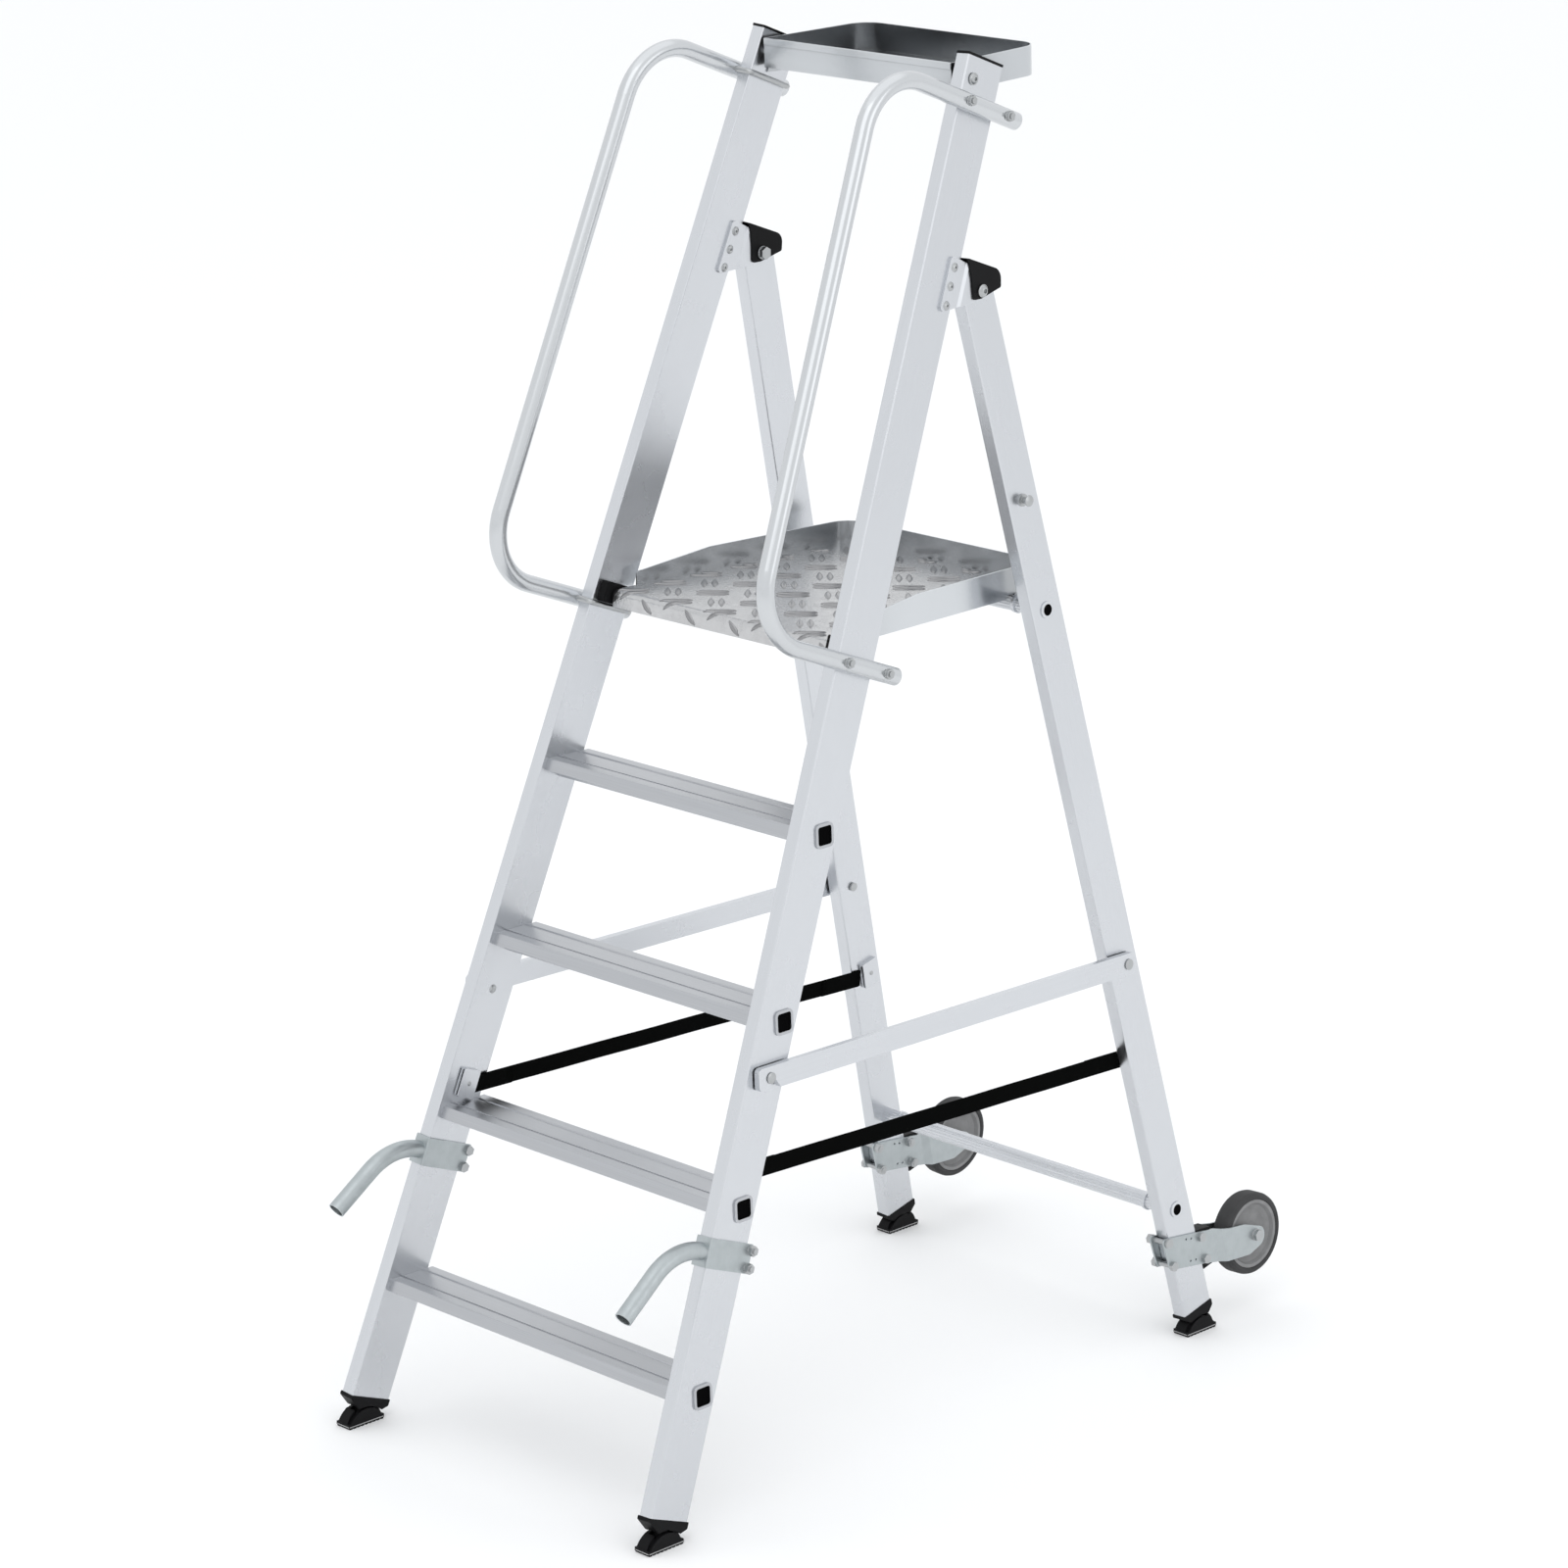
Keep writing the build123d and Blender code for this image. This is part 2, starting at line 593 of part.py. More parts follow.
def foot_housing(frame, depth, cut, pivot_s, point):
    """Cap with room for the tilting shoe, the tongue and the bore for the studs."""
    body = frame * foot_cap(depth, cut) - Pos(point) * shoe_room()
    return joined(body, frame * foot_tongue(depth, cut, pivot_s)) - shoe_socket(point)


def shoe_point(frame, depth, lean_cos, lean_sin, slope):
    """Member length and world point of the shoe pivot on the middle line of a member."""
    length = (SHOE_PIVOT_Z - depth / 2 * lean_sin) / lean_cos * sqrt(1 + slope * slope) - MID * slope
    return length, (frame * Pos(MID, depth / 2, length)).position


FRONT_SHOE_S, FRONT_SHOE = shoe_point(STILE, STILE_DEPTH, CF, -SF, FRONT_SLOPE)
REAR_SHOE_S, REAR_SHOE = shoe_point(LEG, LEG_DEPTH, CR, SR, REAR_SLOPE)


def shoe_socket(point):
    """Bore of the housing in which the studs of the shoe turn."""
    return rod(4.05, point.X - 12, point.X + 12, point.Y, point.Z)


def arch(radius, centre, grow=0.0):
    """Side view of the shoe above the bottom of its base plate, with the pivot at the origin."""
    low = SHOE_BASE - SHOE_PIVOT_Z - grow
    reach = SOLE_LENGTH / 2 + grow
    keep = Pos(0, low + 30) * Rectangle(2 * reach, 60)
    plate = Pos(0, low + 1.6 + grow) * Rectangle(2 * reach, 3.2 + 2 * grow)
    return Pos(0, centre - SHOE_PIVOT_Z) * Circle(radius + grow) & keep, plate


def shoe_room():
    """Space that the shoe sweeps as it tilts."""
    parts = []
    for turn in (-1, -0.5, 0, 0.5, 1):
        for profile, half in ((SHOE_CHEEK, 16.0), (SHOE_WEB, 8.9)):
            for face in arch(*profile, grow=0.7):
                parts.append(Rot(turn * (SHOE_TILT + 0.5), 0, 0) * side_prism(face, -half, half))
    return joined(*parts)


def shoe_body():
    """Rocking shoe: base plate, arched cheeks, toe and heel, and studs that snap into the tongue."""
    half = SOLE_WIDTH / 2
    cheek, plate = arch(*SHOE_CHEEK)
    web, _ = arch(*SHOE_WEB)
    sides = side_prism(cheek, -half, half) - block((-8.4, -60, -60), (8.4, 60, 60))
    ends = side_prism(web, -8.4, 8.4) - block((-9, -17.5, SHOE_BASE - SHOE_PIVOT_Z + 3.2), (9, 17.5, 60))
    stud = rod(4.0, 1.0, 8.5, 0, 0)
    return joined(side_prism(plate, -half, half), sides, ends, stud, flip(stud))


def shoe_sole():
    """Ribbed rubber sole."""
    half = SOLE_WIDTH / 2
    low, high = -SHOE_PIVOT_Z, SHOE_BASE - SHOE_PIVOT_Z
    pad = block((-half, -SOLE_LENGTH / 2, low + 2.0), (half, SOLE_LENGTH / 2, high))
    pitch = SOLE_LENGTH / 9
    ribs = []
    for k in range(9):
        y = -SOLE_LENGTH / 2 + pitch * (k + 0.5)
        ribs.append(block((-half, y - 2.4, low), (half, y + 2.4, low + 2.1)))
    return joined(pad, *ribs)


# ---------------------------------------------------------------- rear frame
def rear_span(offset, middle):
    return span(REAR, REAR_HALF, REAR_SLOPE, offset, middle - 100, middle + 100)


def along_x(radius, s):
    """Full-width rod on the middle of the rear legs."""
    y, z = rear_yz(LEG_DEPTH / 2, s)
    return rod(radius, -400, 400, y, z)


def cross_tube(s):
    """Fluted tube with a bead near each leg, reduced ends and collars outside the legs."""
    y, z = rear_yz(LEG_DEPTH / 2, s)
    section = Circle(12.0)
    for k in range(16):
        section = section - Rot(0, 0, 22.5 * k) * Pos(12.3, 0) * Circle(1.1)
    body = cross(extrude(section, amount=800), -400, y, z) & rear_span(-STILE_WIDTH, s)
    half = REAR_HALF - REAR_SLOPE * s - STILE_WIDTH
    bead = rod(14.0, half - 34, half - 29, y, z)
    ends = along_x(10.0, s) & rear_span(2.0, s)
    collar = along_x(12.35, s) & (rear_span(2.0, s) - rear_span(0.0, s))
    return joined(body, bead, flip(bead), ends, collar) - along_x(8.3, s)


def cross_plug(s):
    body = along_x(8.25, s) & rear_span(1.2, s)
    return both(body & block((0, -2000, -10), (400, 2000, 2500)) - rear_span(-10.0, s))


# -------------------------------------------------------------------- wheels
def wheel_bracket():
    """Outer plate of a wheel fork: flat on the leg, then set outward to clear the wheel."""
    t, j = BRACKET_THICK, 17.0 - STILE_WIDTH / 2
    bent = column(face_of((0, -20), (0, 92), (j, 104), (j, 195), (j + t, 195), (j + t, 103), (t, 91), (t, -20)),
                  50, 190)
    shape = side_prism(face_of((-13.5, 174.4, 5), (-10.6, 121, 5), (58.2, 94.4, 8), (100.7, 75.3, 20),
                               (150, 60, 12), (188, 64, 17), (190, 87, 14), (152, 111, 20), (120, 122.1, 20),
                               (94, 134.5, 10)), -5, 20)
    plate = bent & shape
    for n, s in ((33.1, 150), (43.5, 145.5), (33.2, 112.8), (44.1, 109.1)):
        plate = plate - rod(1.8, -5, 20, n, s)
    for n, s in BRACKET_BOLTS:
        plate = plate - rod(4.0, -5, 20, n, s)
    return plate - rod(5.0, -5, 20, WHEEL_N, WHEEL_S)


def bracket_bolts():
    t, w = BRACKET_THICK, STILE_WIDTH
    sets = []
    for n, s in BRACKET_BOLTS:
        sets.append(joined(rod(4.0, -w - t - 9, t + 5, n, s), hexagon(13, t, t + 5.3, n, s),
                           rod(7.2, -w - t - 1.5, -w - t, n, s),
                           hexagon(13, -w - t - 8.0, -w - t - 1.5, n, s)))
    return group(*sets)


def bracket_spacer():
    """Block filling the fork behind the leg."""
    body = side_prism(face_of((58.6, 150), (88, 141.4), (88, 84), (58.6, 84)), -STILE_WIDTH + 0.05, -0.05)
    for n, s in BRACKET_BOLTS[2:]:
        body = body - rod(4.0, -60, 30, n, s)
    return body


def axle_bolt():
    out = 17.0 + BRACKET_THICK
    bolt = joined(rod(5.0, -out - 9, out + 6, 0, 0), rod(9.5, out, out + 1.6, 0, 0),
                  hexagon(16, out + 1.6, out + 8, 0, 0), rod(9.5, -out - 1.6, -out, 0, 0),
                  hexagon(16, -out - 8.5, -out - 1.6, 0, 0))
    return Pos(MID, WHEEL_N, WHEEL_S) * bolt


def turned(*profile):
    """Ring about X from (x, radius) points."""
    face = make_face(Polyline(*profile, close=True))
    return revolve(face, axis=Axis.X)


def wheel_rim():
    rim = turned((-16.5, 5.06), (-16.5, 12), (-13, 14), (-7, 17), (-4, 36), (-8, 44), (-13.5, 47), (-13.5, 51.9),
                 (13.5, 51.9), (13.5, 47), (8, 44), (4, 36), (7, 17), (13, 14), (16.5, 12), (16.5, 5.06))
    return Pos(MID, WHEEL_N, WHEEL_S) * rim


def wheel_tyre():
    r = WHEEL_RADIUS
    tyre = turned((-13.6, 51.95), (-15.4, 53.5), (-15.5, 57.5), (-12.5, r - 1.2), (-9, r), (9, r), (12.5, r - 1.2),
                  (15.5, 57.5), (15.4, 53.5), (13.6, 51.95))
    return Pos(MID, WHEEL_N, WHEEL_S) * tyre


# ------------------------------------------------------------ front assembly
def front_stile():
    stile = STILE * box_tube(STILE_DEPTH, STILE_LOW, STILE_HIGH)
    for index in range(1, STEP_COUNT + 1):
        stile = stile - square_at(STEP_TUBE, index)
    stile = stile - STILE * hinge_rivets() - STILE * rod(4.5, -40, 1, *STRUT_PIN)
    y, z = front_yz(*TRAY_PIVOT)
    stile = stile - rod(4.0, 150, 240, y, z)
    y, z = front_yz(*PLATFORM_PIVOT)
    return stile - rod(4.0, 200, 231.5, y, z)


def stile_cap():
    w, d = STILE_WIDTH, STILE_DEPTH
    lid = column(Pos(MID, d / 2) * RectangleRounded(w + 1.4, d + 1.4, 2.6), STILE_HIGH, STILE_HIGH + 3.4)
    return joined(lid, end_insert(d, STILE_HIGH - 14, STILE_HIGH + 1))


def build_front():
    save_pair("front_stile", front_stile())
    for index in range(1, STEP_COUNT + 1):
        save(f"step_{index}", step(index))
    save("step_plugs", group(*[step_plug(index) for index in range(1, STEP_COUNT + 1)]))
    save("stile_caps", both(STILE * stile_cap()))

    bolt = hinge_bolt()
    rivets = hinge_rivets()
    outer = hinge_plate() - rivets
    plates = group(STILE * outer - bolt, STILE * across_mid(outer) - bolt)
    save("hinge_plates", both(plates))
    save("hinge_rivets", both(STILE * rivets))
    save("hinge_bolts", both(bolt))
    save("hinge_covers", both(STILE * hinge_cover() - bolt))

    save_pair("handrail", STILE * handrail())
    save("handrail_u_bolts", both(STILE * u_bolts()))
    save("handrail_nuts", both(STILE * rail_nuts()))
    save_pair("lift_handle", STILE * lift_handle())
    save("lift_handle_bolts", both(STILE * handle_bolts()))
    save("strut_hook_pins", both(STILE * hook_pin(*STRUT_PIN)))

    save("strap_clips_front", both(STILE * strap_clip(22.5, 505)))
    save_pair("strap", strap())
    bolt = platform_bolt()
    save("platform_bushings", both(platform_bushing() - bolt))
    save("platform_pivot_bolts", both(bolt))
    save("tray_pivot_bolts", both(tray_bolt()))
    save("tray_stop_tabs", both(tray_tab()))
    save("foot_housings_front", both(foot_housing(STILE, STILE_DEPTH, STILE_LOW, FRONT_SHOE_S, FRONT_SHOE)))


# ------------------------------------------------------------- rear assembly
def rear_leg():
    leg = LEG * box_tube(LEG_DEPTH, LEG_LOW, HINGE_REAR_S * REAR_RUN + LEG_ABOVE_HINGE)
    leg = leg - rod(5.05, 150, 260, HINGE_Y, HINGE_Z)
    for s in CROSS_TUBES:
        leg = leg - along_x(10.0, s)
    frame, _ = strut_frame()
    leg = leg - LEG * rod(4.5, -40, 1, *STRUT_STORE) - frame * column(Circle(4.0), -40, 1)
    return leg


def build_rear():
    save_pair("rear_leg", rear_leg())
    save("cross_tube_upper", cross_tube(CROSS_TUBES[0]))
    save("cross_tube_lower", cross_tube(CROSS_TUBES[1]))
    save("cross_tube_plugs", group(*[cross_plug(s) for s in CROSS_TUBES]))
    save("strut_storage_pins", both(LEG * hook_pin(*STRUT_STORE)))
    save("strut_pivot_rivets", both(strut_rivet()))
    save("strap_clips_rear", both(LEG * strap_clip(19, 440)))

    outer = wheel_bracket()
    save_pair("wheel_bracket", LEG * group(outer, across_mid(outer)))
    save("wheel_bracket_bolts", both(LEG * bracket_bolts()))
    save("wheel_bracket_spacers", both(LEG * bracket_spacer()))
    save("axle_bolts", both(LEG * axle_bolt()))
    save("foot_housings_rear", both(foot_housing(LEG, LEG_DEPTH, LEG_LOW, REAR_SHOE_S, REAR_SHOE)))


def build_moving():
    save("platform_plate", platform_plate())
    save("platform_toe_board", toe_board())
    save("platform_clips", both(platform_clip()))
    save("tray", tray())
    save_pair("strut", strut())
    save_pair("wheel_rim", LEG * wheel_rim())
    save_pair("wheel_tyre", LEG * wheel_tyre())
    for name, point in (("front", FRONT_SHOE), ("rear", REAR_SHOE)):
        save_pair(f"shoe_{name}", Pos(point) * shoe_body())
        save_pair(f"sole_{name}", Pos(point) * shoe_sole())


build_front()
build_rear()
build_moving()
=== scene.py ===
"""Studio scene for the wheeled platform step ladder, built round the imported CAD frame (metres)."""

import math

import bpy
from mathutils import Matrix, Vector


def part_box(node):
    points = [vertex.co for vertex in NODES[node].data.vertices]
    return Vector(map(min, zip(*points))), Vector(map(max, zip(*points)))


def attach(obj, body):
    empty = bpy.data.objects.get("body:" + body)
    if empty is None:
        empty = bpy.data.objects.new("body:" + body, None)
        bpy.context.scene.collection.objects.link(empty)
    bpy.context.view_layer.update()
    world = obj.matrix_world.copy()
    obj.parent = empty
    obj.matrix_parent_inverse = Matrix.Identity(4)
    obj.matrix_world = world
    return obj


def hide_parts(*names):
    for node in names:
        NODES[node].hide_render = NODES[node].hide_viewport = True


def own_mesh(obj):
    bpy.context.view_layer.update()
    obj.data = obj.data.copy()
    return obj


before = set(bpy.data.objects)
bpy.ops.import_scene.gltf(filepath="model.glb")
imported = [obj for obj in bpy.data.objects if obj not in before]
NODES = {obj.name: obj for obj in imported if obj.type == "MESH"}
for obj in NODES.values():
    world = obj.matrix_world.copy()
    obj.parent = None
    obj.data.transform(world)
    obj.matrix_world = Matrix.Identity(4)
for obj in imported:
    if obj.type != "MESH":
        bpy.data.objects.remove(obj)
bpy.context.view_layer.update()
SIDES = ("left", "right")
ENDS = ("front", "rear")

FRONT_LEAN = math.radians(20.87)
REAR_LEAN = math.radians(-14.4)
LEVEL = 0.0

# ------------------------------------------------------------------ materials
ROUNDING = 0.0007                   # edge radius seen by the light
METAL_WEAR_AND_HIGHLIGHT, PLASTIC_WEAR = 0.0012, 0.0008
WEAR_AND_HIGHLIGHT_TURN = (0.80, 0.98)            # cosine between the rounded and the true normal
HOLLOW_OPEN = (0.25, 0.95)          # openness of a hollow, from full painted shade to none
HOLLOW_SHADE_REACH = 0.10

FINE, LONG = 900, 4                 # texture scale across and along the drawn lines
BROAD_CLOUD, FINE_CLOUD = 7.0, 60.0
CLOUD_SHARE, CLOUD_SHADE, MOTTLE_SHADE = 0.12, 0.90, 0.2
LINE_BUMP = (0.03, 0.0002)          # strength, distance
RIPPLE_SCALE, RIPPLE_HEIGHT = 240.0, 0.0012

SKIN_CLOUD, SKIN_HEIGHT = 35.0, 0.0003
RIB_SCALE, CROSS_SCALE = 160.0, 220.0
RIB_BUMP, CROSS_BUMP = (0.5, 0.0004), (0.3, 0.0003)


class Shader:
    """A principled material with short-cuts for procedural textures in object space."""

    def __init__(self, name):
        self.material = bpy.data.materials.new(name)
        self.material.use_nodes = True
        self.tree = self.material.node_tree
        self.bsdf = self.tree.nodes["Principled BSDF"]
        self.coords = self.tree.nodes.new("ShaderNodeTexCoord").outputs["Object"]
        self.normal = None

    def set(self, **sockets):
        for name, value in sockets.items():
            self.bsdf.inputs[name.replace("_", " ")].default_value = value

    def link(self, a, b):
        self.tree.links.new(a, b)

    def paint(self, colour, roughness):
        self.link(colour, self.bsdf.inputs["Base Color"])
        self.link(roughness, self.bsdf.inputs["Roughness"])

    def node(self, kind, **inputs):
        made = self.tree.nodes.new("ShaderNode" + kind)
        for name, value in inputs.items():
            made.inputs[name].default_value = value
        return made

    def mapped(self, scale, turn):
        """Object coordinates turned, then stretched."""
        spin = self.node("Mapping", Rotation=turn)
        self.link(self.coords, spin.inputs["Vector"])
        stretch = self.node("Mapping", Scale=scale)
        self.link(spin.outputs["Vector"], stretch.inputs["Vector"])
        return stretch.outputs["Vector"]

    def noise(self, scale, detail, vector=None):
        made = self.node("TexNoise", Scale=scale, Detail=detail, Roughness=0.55)
        self.link(vector or self.coords, made.inputs["Vector"])
        return made.outputs["Fac"]

    def wave(self, scale, distortion, direction):
        made = self.node("TexWave", Scale=scale, Distortion=distortion)
        made.bands_direction = direction
        self.link(self.coords, made.inputs["Vector"])
        return made.outputs["Fac"]

    def remap(self, value, low, high, start=0.3, end=0.7):
        made = self.node("MapRange")
        made.inputs["From Min"].default_value = start
        made.inputs["From Max"].default_value = end
        made.inputs["To Min"].default_value = low
        made.inputs["To Max"].default_value = high
        self.link(value, made.inputs["Value"])
        return made.outputs["Result"]

    def ramp(self, value, stops):
        """Colour ramp of two stops."""
        made = self.tree.nodes.new("ShaderNodeValToRGB")
        for element, (position, colour) in zip(made.color_ramp.elements, stops):
            element.position = position
            element.color = (*colour, 1.0)
        self.link(value, made.inputs["Fac"])
        return made.outputs["Color"]

    def mix(self, factor, base, colour):
        """Blend from the linked base towards a fixed colour."""
        made = self.tree.nodes.new("ShaderNodeMix")
        made.data_type = "RGBA"
        self.link(factor, made.inputs["Factor"])
        self.link(base, made.inputs["A"])
        made.inputs["B"].default_value = (*colour, 1.0)
        return made.outputs["Result"]

    def rounded(self, radius):
        """Normal that rounds every edge over."""
        made = self.node("Bevel", Radius=radius)
        made.samples = 4
        return made.outputs["Normal"]

    def edges(self, radius):
        """Mask of lighter edges, edge wear and on the tread lugs a painted highlight: where the
        rounded normal leaves the true one.
        """
        geometry = self.tree.nodes.new("ShaderNodeNewGeometry")
        compare = self.tree.nodes.new("ShaderNodeVectorMath")
        compare.operation = "DOT_PRODUCT"
        self.link(self.rounded(radius), compare.inputs[0])
        self.link(geometry.outputs["Normal"], compare.inputs[1])
        return self.remap(compare.outputs["Value"], 1.0, 0.0, *WEAR_AND_HIGHLIGHT_TURN)

    def recess(self, reach):
        """Mask of hollows, where shade is painted into the colour."""
        hollow = self.node("AmbientOcclusion", Distance=reach)
        hollow.samples = 6
        return self.remap(hollow.outputs["AO"], 1.0, 0.0, *HOLLOW_OPEN)

    def bump(self, height, strength, distance):
        """Relief on top of the rounded edges and of any earlier relief."""
        made = self.node("Bump", Strength=strength, Distance=distance)
        self.link(height, made.inputs["Height"])
        self.link(self.normal or self.rounded(ROUNDING), made.inputs["Normal"])
        self.normal = made.outputs["Normal"]
        self.link(self.normal, self.bsdf.inputs["Normal"])


def tint(colour, factor):
    return tuple(min(1.0, channel * factor) for channel in colour)


def metal(name, colour, rough, lean=LEVEL, along="z", grain=0.02, spread=0.025,
          mottled=0.0, hollow_shade=0.0, ripple=0.0, wear_and_highlight=1.2):
    """Extruded or sheet metal with fine lines along one direction and faint handling marks."""
    shader = Shader(name)
    shader.set(Metallic=1.0)
    scale = tuple(LONG if axis == along else FINE for axis in "xyz")
    lines = shader.noise(1.0, 3.0, shader.mapped(scale, (lean, 0.0, 0.0)))
    cloud = shader.noise(FINE_CLOUD if mottled else BROAD_CLOUD, 4.0)
    marks = shader.remap(cloud, 0.0, CLOUD_SHARE + mottled)
    base = shader.ramp(lines, [(0.3, tint(colour, 1 - grain)), (0.7, tint(colour, 1 + grain))])
    base = shader.mix(marks, base, tint(colour, CLOUD_SHADE - MOTTLE_SHADE * mottled))
    # lighter edges: edge wear, and on the tread lugs a painted highlight
    base = shader.mix(shader.edges(METAL_WEAR_AND_HIGHLIGHT), base, tint(colour, wear_and_highlight))
    # painted shade: hollows found by ambient occlusion darken the colour
    if hollow_shade:
        base = shader.mix(shader.recess(HOLLOW_SHADE_REACH), base, tint(colour, 1 - hollow_shade))
    shader.paint(base, shader.remap(cloud, rough - spread, rough + spread))
    shader.bump(lines, *LINE_BUMP)
    if ripple:
        shader.bump(shader.noise(RIPPLE_SCALE, 3.0), ripple, RIPPLE_HEIGHT)
    return shader.material


def moulded(name, colour, rough, texture=900.0, depth=0.12, wear_and_highlight=1.8, gloss=0.12):
    """Moulded plastic or rubber with a fine skin texture and lighter worn edges."""
    shader = Shader(name)
    shader.set(Specular_IOR_Level=gloss)
    cloud = shader.noise(SKIN_CLOUD, 5.0)
    base = shader.ramp(cloud, [(0.3, tint(colour, 0.85)), (0.7, tint(colour, 1.15))])
    base = shader.mix(shader.edges(PLASTIC_WEAR), base, tint(colour, wear_and_highlight))
    shader.paint(base, shader.remap(cloud, rough - 0.06, rough + 0.08))
    shader.bump(shader.noise(texture, 3.0), depth, SKIN_HEIGHT)
    return shader.material


def woven(name, colour):
    """Polyester webbing with crossed ribs."""
    shader = Shader(name)
    shader.set(Specular_IOR_Level=0.01)
    ribs = shader.wave(RIB_SCALE, 0.4, "Y")
    cross = shader.wave(CROSS_SCALE, 0.3, "Z")
    base = shader.ramp(ribs, [(0.2, tint(colour, 0.7)), (0.8, tint(colour, 1.5))])
    shader.paint(base, shader.remap(cross, 0.7, 0.9, 0.0, 1.0))
    shader.bump(ribs, *RIB_BUMP)
    shader.bump(cross, *CROSS_BUMP)
    return shader.material


ALUMINIUM = (0.63, 0.645, 0.67)
ZINC = (0.455, 0.49, 0.50)
BLACK = (0.004, 0.004, 0.0045)

MATERIALS = {
    "stile": metal("aluminium_stile", ALUMINIUM, 0.27, FRONT_LEAN),
    "leg": metal("aluminium_leg", ALUMINIUM, 0.27, REAR_LEAN),
    "strut": metal("aluminium_strut", ALUMINIUM, 0.27, along="y"),
    "cross": metal("aluminium_cross_tube", ALUMINIUM, 0.27, along="x"),
    "rail": metal("aluminium_rail", (0.60, 0.615, 0.63), 0.22, FRONT_LEAN),
    "tread": metal("aluminium_tread", (0.47, 0.48, 0.50), 0.30, along="x", grain=0.05),
    # the toe board, stop tabs and tray get painted shade in their hollows
    "sheet": metal("aluminium_sheet", (0.63, 0.65, 0.67), 0.20, along="x", hollow_shade=0.48),
    "tray": metal("aluminium_tray", (0.59, 0.61, 0.63), 0.20, along="x", hollow_shade=0.8),
    "deck": metal("aluminium_tread_plate", (0.58, 0.58, 0.585), 0.22, along="x",
                  spread=0.09, mottled=0.4, ripple=0.6),
    # the lugs are the same aluminium as the deck: their darker colour is painted shade for the darker
    # surroundings they reflect, and their much lighter edges are a painted highlight
    "lug": metal("aluminium_lugs", (0.30, 0.30, 0.305), 0.20, along="x",
                 spread=0.05, mottled=0.3, wear_and_highlight=1.9),
    "plate": metal("aluminium_plate", ALUMINIUM, 0.33),
    "zinc": metal("zinc_plate", ZINC, 0.42, mottled=0.2, spread=0.08),
    "bolt": metal("plated_fasteners", (0.44, 0.45, 0.455), 0.30, mottled=0.1),
    "plastic": moulded("black_plastic", BLACK, 0.5),
    "socket": moulded("black_plug", (0.0012, 0.0012, 0.0014), 0.7, gloss=0.02),
    "rubber": moulded("black_rubber", (0.014, 0.014, 0.014), 0.62, 500.0, 0.25, 1.4),
    "tyre": moulded("grey_tyre", (0.052, 0.052, 0.053), 0.62, 400.0, 0.2, 1.3),
    "hub": moulded("grey_hub", (0.24, 0.24, 0.242), 0.5, 700.0, 0.1, 1.15),
    "webbing": woven("black_webbing", (0.0025, 0.0027, 0.0026)),
    "line": moulded("light_grey_rubber", (0.36, 0.36, 0.36), 0.6),
}

# CAD nodes by material; every node not named here is a fastener
FINISHES = {
    "stile": ["front_stile_left", "front_stile_right"],
    "leg": ["rear_leg_left", "rear_leg_right"],
    "strut": ["strut_left", "strut_right"],
    "cross": ["cross_tube_upper", "cross_tube_lower"],
    "rail": ["handrail_left", "handrail_right"],
    "tread": ["step_1", "step_2", "step_3", "step_4"],
    "sheet": ["platform_toe_board", "tray_stop_tabs"],
    "tray": ["tray"],
    "plate": ["hinge_plates", "strap_clips_front", "strap_clips_rear"],
    "deck": ["platform_plate"],
    "zinc": ["lift_handle_left", "lift_handle_right", "wheel_bracket_left", "wheel_bracket_right"],
    "socket": ["step_plugs", "cross_tube_plugs"],
    "plastic": ["stile_caps", "hinge_covers", "platform_bushings", "platform_clips",
                "foot_housings_front", "foot_housings_rear", "shoe_front_left", "shoe_front_right",
                "shoe_rear_left", "shoe_rear_right", "wheel_bracket_spacers"],
    "rubber": ["sole_front_left", "sole_front_right", "sole_rear_left", "sole_rear_right"],
    "tyre": ["wheel_tyre_left", "wheel_tyre_right"],
    "hub": ["wheel_rim_left", "wheel_rim_right"],
    "webbing": ["strap_left", "strap_right"],
}


def finish_of(node_name):
    for key, names in FINISHES.items():
        if node_name in names:
            return MATERIALS[key]
    return MATERIALS["bolt"]


def dress(node_name):
    node = NODES[node_name]
    material = finish_of(node_name)
    if not node.material_slots:
        node.data.materials.append(material)
    for place in node.material_slots:
        place.link = "OBJECT"
        place.material = material


# ---------------------------------------------------------------- small tools
def mesh_object(name, vertices, faces, material, body, smooth=True):
    """Visible piece that rides on a body."""
    mesh = bpy.data.meshes.new(name)
    mesh.from_pydata([tuple(vertex) for vertex in vertices], [], faces)
    mesh.validate()
    mesh.polygons.foreach_set("use_smooth", [smooth] * len(mesh.polygons))
    made = bpy.data.objects.new(name, mesh)
    bpy.context.scene.collection.objects.link(made)
    mesh.materials.append(material)
    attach(made, body)
    return made


def wall_faces(start, count, levels):
    """Quads between rings of count points each, stacked over the given number of levels."""
    faces = []
    for level in range(levels):
        base = start + level * count
        for k in range(count):
            after = (k + 1) % count
            faces.append((base + k, base + after, base + count + after, base + count + k))
    return faces


